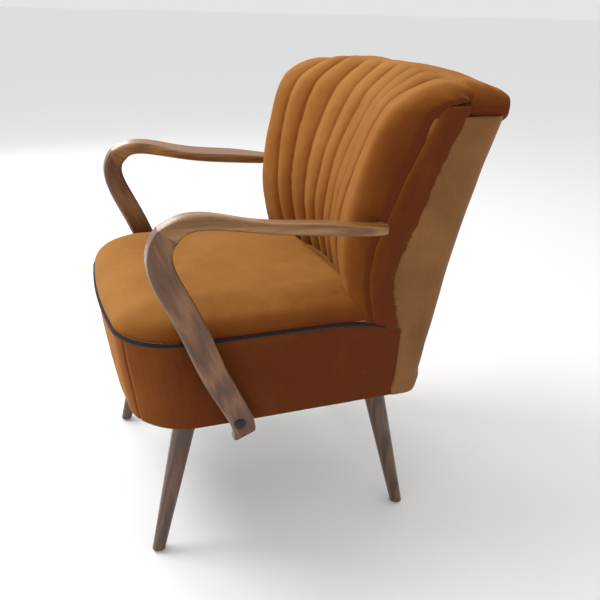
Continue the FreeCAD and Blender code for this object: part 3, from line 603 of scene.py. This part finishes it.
def make_inside_back():
    """The fluted pad with its side rolls, which runs over the crest and in under the head roll."""
    columns, rows = 320, 190
    table = []
    for r in range(rows):
        row = []
        for c in range(columns):
            u = -1 + 2 * c / (columns - 1)
            row.append(back_surface(u, r / (rows - 1)))
        table.append(row)
    lines = []
    for r in range(rows):
        line = []
        for c in range(columns):
            p, angle = table[r][c]
            left, right = table[r][max(c - 1, 0)][0], table[r][min(c + 1, columns - 1)][0]
            down, up = table[max(r - 1, 0)][c][0], table[min(r + 1, rows - 1)][c][0]
            normal = (right - left).cross(up - down).normalized()
            u = abs(-1 + 2 * c / (columns - 1))
            fade = 1 - ease(0.75, 1.45, angle)
            depth = (flute(p.x, p.z) - 0.75) * FLUTE_DEPTH * fade
            at_seam = ease(0.90, 1.0, u)
            depth += SIDE_ROLL_PUFF * ease(0.60, 0.78, u) * (1 - ease(0.92, 1.0, u)) * fade
            depth -= 2.5 * MM * at_seam**2
            corner = ease(0.86, 0.97, u) * ease(0.25, 0.9, angle) * (1 - ease(1.2, 1.57, angle))
            depth += math.sin(angle * 17) * 1.5 * MM * corner
            depth += fluff(p, 0.06, 1.6 * MM, 3.0) + fluff(p, 0.018, 0.35 * MM, 8.0)
            line.append(p + normal * depth)
        lines.append(line)
    deep = 30.0 * MM
    back = [[Vector((p.x * 0.93, min(p.y + deep, CREST_END_Y - 0.004), min(p.z, TOP_Z - 0.03))) for p in line]
            for line in lines]
    obj = two_sided("inside_back", lines, back, velvet_back)
    return finish_piece(obj, "velvet", "back_cushion")


# ------------------------------------------------------------------ side bands
def make_band(name, sign):
    """The padded border strip between the inside back's seam and the outer back."""
    rows, count = 120, 28
    z0, z1 = band_low.z + 0.002, TOP_Z - 0.046
    lines = []
    for r in range(rows):
        z = z0 + (z1 - z0) * r / (rows - 1)
        w = half_width(z)
        y0, y1 = seam_y(z) - 2.0 * MM, band_y(z)
        past = ease(z1 - 0.03, z1, z)
        w -= 3.0 * MM * past
        middle, half = (y0 + y1) / 2, (y1 - y0) / 2
        line = []
        for k in range(count):
            angle = TAU * k / count
            cx, cy = math.cos(angle), math.sin(angle)
            reach = BAND_T / 2 + (BAND_BULGE if cx > 0 else 0)
            x = w - BAND_T / 2 + math.copysign(abs(cx) ** 0.5, cx) * reach
            y = middle + math.copysign(abs(cy) ** 0.62, cy) * half
            p = Vector((x, y, z))
            wobble = fluff(p, 0.03, 1.6 * MM, 20.0 + sign) + fluff(p, 0.010, 0.5 * MM, 31.0)
            if cy > 0.3:
                p.y += sewn_wave(z)
            p.x += wobble if cx > 0 else 0
            line.append(Vector((p.x * sign, p.y, p.z)))
        lines.append(line)
    obj = loft_rows(f"side_band_{name}", lines, velvet_side_shaded)
    return finish_piece(obj, "velvet", f"back_band_{name}")


# ------------------------------------------------------------------ head roll
def make_head_roll():
    """A padded roll whose rear hangs a little over the outer back."""
    rows, count = 150, 56
    axis = Vector((0, (roll_low.y + roll_high.y) / 2, (roll_low.z + roll_high.z) / 2 - 0.004))
    end = roll_high.x - 0.034
    cap_share = 0.84
    lines = []
    for r in range(rows):
        share = -1 + 2 * r / (rows - 1)
        x = end * clamp(share / cap_share, -1, 1)
        tip = clamp((abs(share) - cap_share) / (1 - cap_share)) * math.pi / 2
        tip = min(tip, 1.5)
        line = []
        for k in range(count):
            angle = TAU * k / count
            outward = Vector((
                math.copysign(math.sin(tip), share),
                math.cos(tip) * math.cos(angle),
                math.cos(tip) * math.sin(angle),
            ))
            centre = Vector((x, axis.y, axis.z))
            p = wrap(roll_tree, centre, outward, 0.0) or centre + outward * 0.02
            line.append(p)
        lines.append(line)
    lines = relax(lines, 14, True)
    for line in lines:
        for k, p in enumerate(line):
            angle = TAU * k / count
            near_end = ease(end - 0.02, end + 0.03, abs(p.x))
            pull = near_end * (1 - near_end) * 4
            p.z += fluff(p, 0.05, 2.0 * MM, 40.0) + math.sin(angle * 9) * 0.9 * MM * pull
            p.y += fluff(p, 0.025, 0.9 * MM, 51.0) - 0.5 * end_drop(p.x)
            p.z -= end_drop(p.x) * clamp((p.z - roll_low.z) / (roll_high.z - roll_low.z))
            p.x *= ROLL_SQUEEZE
    obj = loft_rows("head_roll_pad", lines, velvet_back)
    return finish_piece(obj, "velvet", "head_roll")


# ------------------------------------------------------------------ outer back
def outer_path(z):
    """The outer back in plan at one height, from the left border round to the right one."""
    w = half_width(z) - 0.5 * MM
    start = min(band_y(z), BORDER_END_Y)
    rs, rm = rear_side_y(z), rear_mid_y(z)
    r = OUTER_CORNER_R
    right = [Vector((w, start, z)), Vector((w, (start + rs - r) / 2, z))]
    for i in range(7):
        a = math.pi / 2 * i / 6
        p = Vector((w - r + r * math.cos(a), rs - r + r * math.sin(a), z))
        centre = Vector((w - 0.045, rs - 0.045, z))
        found = wrap(outer_tree, centre, p - centre)
        if found is not None and (found - centre).length > (p - centre).length:
            p = found
        right.append(p)
    inner = w - r
    for i in range(1, 12):
        t = 1 - i / 12
        right.append(Vector((inner * t, rs + (rm - rs) * (1 - t * t), z)))
    left = [Vector((-p.x, p.y, z)) for p in reversed(right)]
    return right + [Vector((0, rm, z))] + left


def make_outer_back():
    """The thin cloth round the rear, with its edges sewn to the two borders."""
    rows, columns = 90, 200
    z0, z1 = outer_low.z, roll_low.z + 0.012
    lines = []
    for r in range(rows):
        z = z0 + (z1 - z0) * r / (rows - 1)
        line = resample(outer_path(z), columns)
        for c, p in enumerate(line):
            side = min(c, columns - 1 - c) / columns
            wave = sewn_wave(z) * (1 - ease(0.0, 0.03, side))
            p.y += wave + fluff(p, 0.05, 1.2 * MM, 60.0)
            p.y += 1.5 * MM * ease(0.0, 0.06, side)
        lines.append(line)
    inside = [[Vector((p.x * (1 - OUTER_T / 0.25), p.y - OUTER_T, p.z)) for p in line] for line in lines]
    obj = two_sided("outer_back_cloth", lines, inside, cloth_outer)
    return finish_piece(obj, "outer_back_cloth", "outer_back")


def make_stitches(name, sign):
    """Hand stitches that close the outer back's edge to the border."""
    points, faces = [], []
    z = outer_low.z + 0.02
    while z < TOP_Z - 0.075:
        w = half_width(z) + 0.6 * MM
        y = min(band_y(z), BORDER_END_Y) + sewn_wave(z)
        a = Vector((sign * (w + 0.9 * MM), y - 1.8 * MM, z - 0.9 * MM))
        b = Vector((sign * (w + 0.7 * MM), y + 1.9 * MM, z + 1.1 * MM))
        along = (b - a).normalized()
        side = along.cross(Vector((1, 0, 0))).normalized()
        out = Vector((sign, 0, 0))
        start = len(points)
        for share, size in ((0, 0.15), (0.2, 0.45), (0.5, 0.55), (0.8, 0.45), (1, 0.15)):
            centre = a.lerp(b, share)
            for k in range(6):
                angle = TAU * k / 6
                across, proud = size * MM * math.cos(angle), size * MM * math.sin(angle)
                points.append(centre + side * across + out * proud)
        for f in grid_faces(5, 6, True):
            faces.append([start + i for i in f])
        z += STITCH_PITCH * (1 + 0.25 * math.sin(z * 900))
    obj = make_object(f"stitches_{name}", points, faces, thread)
    return finish_piece(obj, "outer_back_cloth")


# ------------------------------------------------------------------ seat
top_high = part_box("seat_top_cover")[1]
border_low, border_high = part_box("seat_border_cover")
pipe_low, pipe_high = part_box("seat_piping")
SEAT_W = border_high.x
SEAT_F = border_low.y
PIPE_Z = pipe_high.z - PIPING_R
top_tree = tree_of("seat_top_cover", "seat_stuffing")
border_tree = tree_of("seat_border_cover")
foot_hit = cast(border_tree, (1, 0, border_low.z + 0.002), (-1, 0, 0))
front_hit = cast(border_tree, (0, -1, border_low.z + 0.002), (0, 1, 0))
SEAT_FOOT_W = foot_hit.x
SEAT_FOOT_F = front_hit.y
REAR_Y = border_high.y
PIPE_DROP = PIPE_Z - (pipe_low.z + PIPING_R)
DROP_LENGTH = 0.115
DROP_END_Y = pipe_high.y


def pipe_z(y):
    """Height of the piping, which dips towards the back."""
    past = clamp((y - (DROP_END_Y - DROP_LENGTH)) / DROP_LENGTH, 0, 1.3)
    return PIPE_Z - PIPE_DROP * past**2


def seat_outline(w, f, inset, rear, count):
    """Half an outline of the seat in plan, from its rear left to the middle of the front."""
    r = SEAT_CORNER_R - inset
    w, f = w - inset, f + inset
    points = [Vector((w, rear, 0)), Vector((w, f + SEAT_BOW + r, 0))]
    for i in range(1, 15):
        a = math.pi / 2 * i / 14
        points.append(Vector((w - r + r * math.cos(a), f + SEAT_BOW + r - r * math.sin(a), 0)))
    inner = w - r
    for i in range(1, 9):
        t = 1 - i / 8
        points.append(Vector((inner * t, f + SEAT_BOW * t * t, 0)))
    return resample(points, count)


def whole_outline(w, f, inset, rear, count):
    """The open outline of the seat in plan, from its rear left round the front to its rear right."""
    half = seat_outline(w, f, inset, rear, count)
    return half + [Vector((-p.x, p.y, 0)) for p in reversed(half[:-1])]


def make_seat_top():
    """The crowned seat: rings from the piping inwards, higher towards the middle."""
    count, rings = 130, 60
    rear = crest_y(PIPE_Z + 0.02) + 0.045
    rise = top_high.z - PIPE_Z
    lines = []
    reach = 0.232
    for k in range(rings):
        share = (k / (rings - 1)) ** 1.25
        inset = reach * share
        shrink = inset if inset < SEAT_CORNER_R - 0.01 else SEAT_CORNER_R - 0.01
        outline = whole_outline(SEAT_W, SEAT_F, shrink, rear, count)
        squeeze = 1 - (inset - shrink) / (SEAT_W - shrink)
        line = []
        for p in outline:
            x = p.x * squeeze
            y = rear + (p.y - rear) * squeeze if inset > shrink else p.y
            edge = clamp(inset / 0.085)
            height = math.sqrt(1 - (1 - edge) ** 2) * 0.80 + 0.20 * clamp(inset / reach)
            behind = ease(rear - 0.16, rear, y)
            z = pipe_z(y) + 2.0 * MM + rise * height * (1 - 0.10 * behind)
            bulge = math.sin(math.pi * clamp(inset / 0.030)) * 2.5 * MM
            q = Vector((x, y, z))
            found = cast(top_tree, (x, y, 1), (0, 0, -1))
            if found is not None:
                q.z = max(q.z, found.z + 1.0 * MM)
            q.z += fluff(q, 0.11, 3.0 * MM, 70.0) * edge + fluff(q, 0.02, 0.3 * MM, 75.0)
            q.x += math.copysign(bulge, x) if abs(x) > 0.1 else 0
            line.append(q)
        lines.append(line)
    base = [Vector((p.x * 0.97, min(p.y + 0.004, rear), pipe_z(p.y) - 0.004)) for p in lines[0]]
    rows = [[Vector((p.x * 0.3, p.y * 0.3, PIPE_Z - 0.03)) for p in base], base] + lines
    points = [p for line in rows for p in line]
    columns = len(rows[0])
    faces = grid_faces(len(rows), columns, False)
    for row_start in (0, (len(rows) - 1) * columns):
        faces.append([row_start + c for c in range(columns)])
    faces.append([r * columns for r in range(len(rows))])
    faces.append([r * columns + columns - 1 for r in range(len(rows))])
    obj = make_object("seat_cushion_top", points, faces, velvet_seat)
    return finish_piece(obj, "velvet", "seat_top_cover")


def make_seat_border():
    """The cloth wall round the seat, turned under at the frame's lower edge."""
    count, rows = 320, 46
    rear = REAR_Y
    lines = []
    for r in range(rows):
        v = r / (rows - 1)
        line = []
        upper = whole_outline(SEAT_W, SEAT_F, 0, rear, count)
        lower = whole_outline(SEAT_FOOT_W, SEAT_FOOT_F, 0, rear, count)
        for a, b in zip(upper, lower):
            p = b.lerp(a, v)
            top = pipe_z(p.y) - PIPING_R * 0.6
            z = border_low.z + (top - border_low.z) * v
            out = Vector((p.x, p.y + 0.10, 0)).normalized()
            bulge = math.sin(math.pi * clamp(v)) ** 0.7 * 2.2 * MM - 1.5 * MM * ease(0.93, 1.0, v)
            q = Vector((p.x, p.y, z)) + out * bulge * (1 - ease(rear - 0.02, rear, p.y))
            ahead = SEAT_F + SEAT_BOW + SEAT_CORNER_R - p.y
            corner = math.degrees(math.atan2(ahead, abs(p.x) - SEAT_W + SEAT_CORNER_R))
            q -= out * (2.2 * MM * math.exp(-((corner - SEAM_ANGLE) / 1.6) ** 2))
            q += out * (fluff(q, 0.07, 1.6 * MM, 80.0) + fluff(q, 0.02, 0.35 * MM, 85.0))
            line.append(q)
        lines.append(line)
    first = lines[0]
    turned = []
    for step, drop in ((SEAT_TUCK, 0.8 * MM), (SEAT_TUCK * 0.5, 0.2 * MM), (3.0 * MM, -0.4 * MM)):
        row = []
        for p in first:
            inward = Vector((-p.x, -(p.y + 0.02), 0)).normalized()
            row.append(Vector((p.x, p.y, border_low.z + drop)) + inward * step)
        turned.append(row)
    outer = turned + lines
    inner = []
    for line in reversed(outer):
        row = []
        for p in line:
            inward = Vector((-p.x, -(p.y + 0.02), 0)).normalized()
            row.append(Vector((p.x, p.y, max(p.z, border_low.z + 0.003))) + inward * 4.0 * MM)
        inner.append(row)
    loop = outer + inner
    columns = len(loop[0])
    points = [p for line in loop for p in line]
    faces = grid_faces(len(loop), columns, False)
    for c in range(columns - 1):
        last = (len(loop) - 1) * columns
        faces.append([c, c + 1, last + c + 1, last + c])
    obj = make_object("seat_border", points, faces, velvet_side_shaded)
    return finish_piece(obj, "velvet", "seat_border_cover")


def make_piping():
    """The thin cord sewn along the seat's top edge."""
    outline = whole_outline(SEAT_W + 0.8 * MM, SEAT_F - 0.8 * MM, 0, DROP_END_Y, 150)
    path = [Vector((p.x, p.y, pipe_z(p.y) + fluff(p, 0.05, 0.6 * MM, 90.0))) for p in outline]
    obj = tube("piping", path, PIPING_R, cloth_piping, 12)
    return finish_piece(obj, "piping_cord", "seat_piping")


def make_dust_cover():
    """The thin cloth under the seat, tacked round its edge."""
    low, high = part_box("dust_cover")
    nx, ny = 60, 60
    rows = []
    for j in range(ny):
        y = low.y + 0.004 + (high.y - low.y - 0.008) * j / (ny - 1)
        row = []
        for i in range(nx):
            share = -1 + 2 * i / (nx - 1)
            corner = SEAT_CORNER_R - 0.016
            past = clamp((low.y + corner - y) / corner)
            limit = high.x - 0.003 - corner * (1 - math.sqrt(1 - past * past))
            x = share * limit
            sag = -1.6 * MM * math.sin(math.pi * i / (nx - 1)) * math.sin(math.pi * j / (ny - 1))
            row.append(Vector((x, y, low.z + sag + fluff((x, y, 0), 0.06, 0.8 * MM, 95.0))))
        rows.append(row)
    under = [[Vector((p.x, p.y, p.z + 0.8 * MM)) for p in row] for row in rows]
    obj = two_sided("dust_cloth", rows, under, cloth_dust)
    return finish_piece(obj, "dust_cloth", "dust_cover")


def make_tacks():
    """Domed tacks that hold the dust cover to the rails."""
    low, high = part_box("dust_cover")
    outline = whole_outline(high.x, low.y, 0.009, high.y - 0.01, 400)
    points, faces = [], []
    travelled = 0.0
    for a, b in zip(outline, outline[1:]):
        travelled += (b - a).length
        if travelled < TACK_PITCH:
            continue
        travelled = 0.0
        start = len(points)
        for drop, radius in ((0.0, 3.4), (0.7, 3.2), (1.3, 2.3), (1.6, 1.0)):
            for k in range(12):
                angle = TAU * k / 12
                points.append(Vector((
                    b.x + radius * MM * math.cos(angle), b.y + radius * MM * math.sin(angle),
                    low.z - drop * MM)))
        for f in grid_faces(4, 12, True):
            faces.append([start + i for i in f])
        faces.append([start + 36 + k for k in range(12)])
        faces.append([start + k for k in range(12)])
    obj = make_object("dust_cover_tacks", points, faces, steel)
    return finish_piece(obj, "fixing_steel")


# ------------------------------------------------------------------ hardware
def make_hardware():
    """Rounder glides and bolt caps in place of the CAD ones."""
    for row in ("front", "rear"):
        for name, _ in SIDES:
            low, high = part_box(f"glide_{row}_{name}")
            centre = ((low.x + high.x) / 2, (low.y + high.y) / 2, 0)
            r = (high.x - low.x) / 2
            profile = [(0.0, r * 0.55), (0.0004, r * 0.75), (0.0014, r * 0.92), (0.003, r),
                       (0.0044, r * 1.02), (0.0048, r * 0.8)]
            glide = lathe(f"glide_cap_{row}_{name}", profile, centre, (0, 0, 1), steel_glide)
            finish_piece(glide, "glide_steel", f"glide_{row}_{name}")
    for name, sign in SIDES:
        low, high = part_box(f"bolt_cap_{name}")
        r = (high.z - low.z) / 2
        foot = low.x if sign > 0 else high.x
        centre = (foot, (low.y + high.y) / 2, (low.z + high.z) / 2)
        depth = high.x - low.x
        profile = [(0.0, r), (depth * 0.25, r * 0.98), (depth * 0.55, r * 0.84), (depth * 0.8, r * 0.58),
                   (depth * 0.96, r * 0.25), (depth, r * 0.04)]
        cap = lathe(f"bolt_dome_{name}", profile, centre, (sign, 0, 0), cap_dark)
        finish_piece(cap, "cap_metal", f"bolt_cap_{name}")


def paint_cad_nodes():
    """Materials for the CAD nodes that stay in view or inside."""
    for name, obj in cad.items():
        if name.startswith("arm_upright"):
            material = wood_upright
        elif name.startswith("armrest_") and "screw" not in name:
            material = wood_armrest
        elif name.startswith("leg_") and name != "leg_studs":
            material = wood_leg
        elif "webbing" in name or "hessian" in name:
            material = jute
        elif "stuffing" in name or "felt" in name or "wadding" in name:
            material = hair
        elif any(word in name for word in ("screw", "stud", "bolt", "spring")):
            material = steel
        else:
            material = wood_frame
        obj.data.materials.clear()
        obj.data.materials.append(material)


# ------------------------------------------------------------------ stage
def make_stage():
    """A pale floor and soft studio light."""
    corners = [(x, y, FLOOR_Z) for x, y in ((-60, -60), (60, -60), (60, 60), (-60, 60))]
    floor = make_object("floor", corners, [[0, 1, 2, 3]], Shader("floor").material, False)
    floor_shader = floor.data.materials[0].node_tree.nodes["Principled BSDF"]
    floor_shader.inputs["Base Color"].default_value = (0.93, 0.93, 0.93, 1)
    floor_shader.inputs["Roughness"].default_value = 0.95
    world = bpy.data.worlds.new("world")
    bpy.context.scene.world = world
    world.use_nodes = True
    world.node_tree.nodes["Background"].inputs["Color"].default_value = (1, 1, 1, 1)
    world.node_tree.nodes["Background"].inputs["Strength"].default_value = 0.78
    for name, place, size, power in (
        ("key", (-0.9, -1.5, 2.7), 1.4, 46.0),
        ("left", (-2.6, -0.8, 1.8), 1.4, 26.0),
        ("fill", (2.4, -1.8, 1.1), 2.0, 5.0),
    ):
        lamp = bpy.data.lights.new(name, "AREA")
        lamp.size = size
        lamp.energy = power
        light = bpy.data.objects.new(name, lamp)
        bpy.context.scene.collection.objects.link(light)
        light.location = place
        aim = Vector((0, 0, 0.4)) - Vector(place)
        light.rotation_euler = aim.to_track_quat("-Z", "Y").to_euler()
    bpy.context.scene.view_settings.view_transform = "Standard"


CAMERA_AZIMUTH = math.radians(69.3)
CAMERA_ELEVATION = math.radians(23.1)
CAMERA_ROLL = math.radians(1.6)
CAMERA_DISTANCE = 1.343
CAMERA_LENS = 41.76


def make_camera():
    target = Vector((0, 0.053, 0.334))
    az, el, roll = CAMERA_AZIMUTH, CAMERA_ELEVATION, CAMERA_ROLL
    back = Vector((math.sin(az) * math.cos(el), -math.cos(az) * math.cos(el), math.sin(el)))
    right = Vector((math.cos(az), math.sin(az), 0))
    up = back.cross(right)
    turned_right = right * math.cos(roll) + up * math.sin(roll)
    turned_up = up * math.cos(roll) - right * math.sin(roll)
    data = bpy.data.cameras.new("camera")
    data.lens = CAMERA_LENS
    data.sensor_width = 36.0
    camera = bpy.data.objects.new("camera", data)
    bpy.context.scene.collection.objects.link(camera)
    rotation = Matrix((turned_right, turned_up, back)).transposed().to_4x4()
    camera.matrix_world = Matrix.Translation(target + back * CAMERA_DISTANCE) @ rotation
    bpy.context.scene.camera = camera


# ------------------------------------------------------------------ build
paint_cad_nodes()
make_inside_back()
make_head_roll()
make_outer_back()
for side_name, side_sign in SIDES:
    make_band(side_name, side_sign)
    make_stitches(side_name, side_sign)
make_seat_top()
make_seat_border()
make_piping()
make_dust_cover()
make_tacks()
make_hardware()
make_stage()
make_camera()
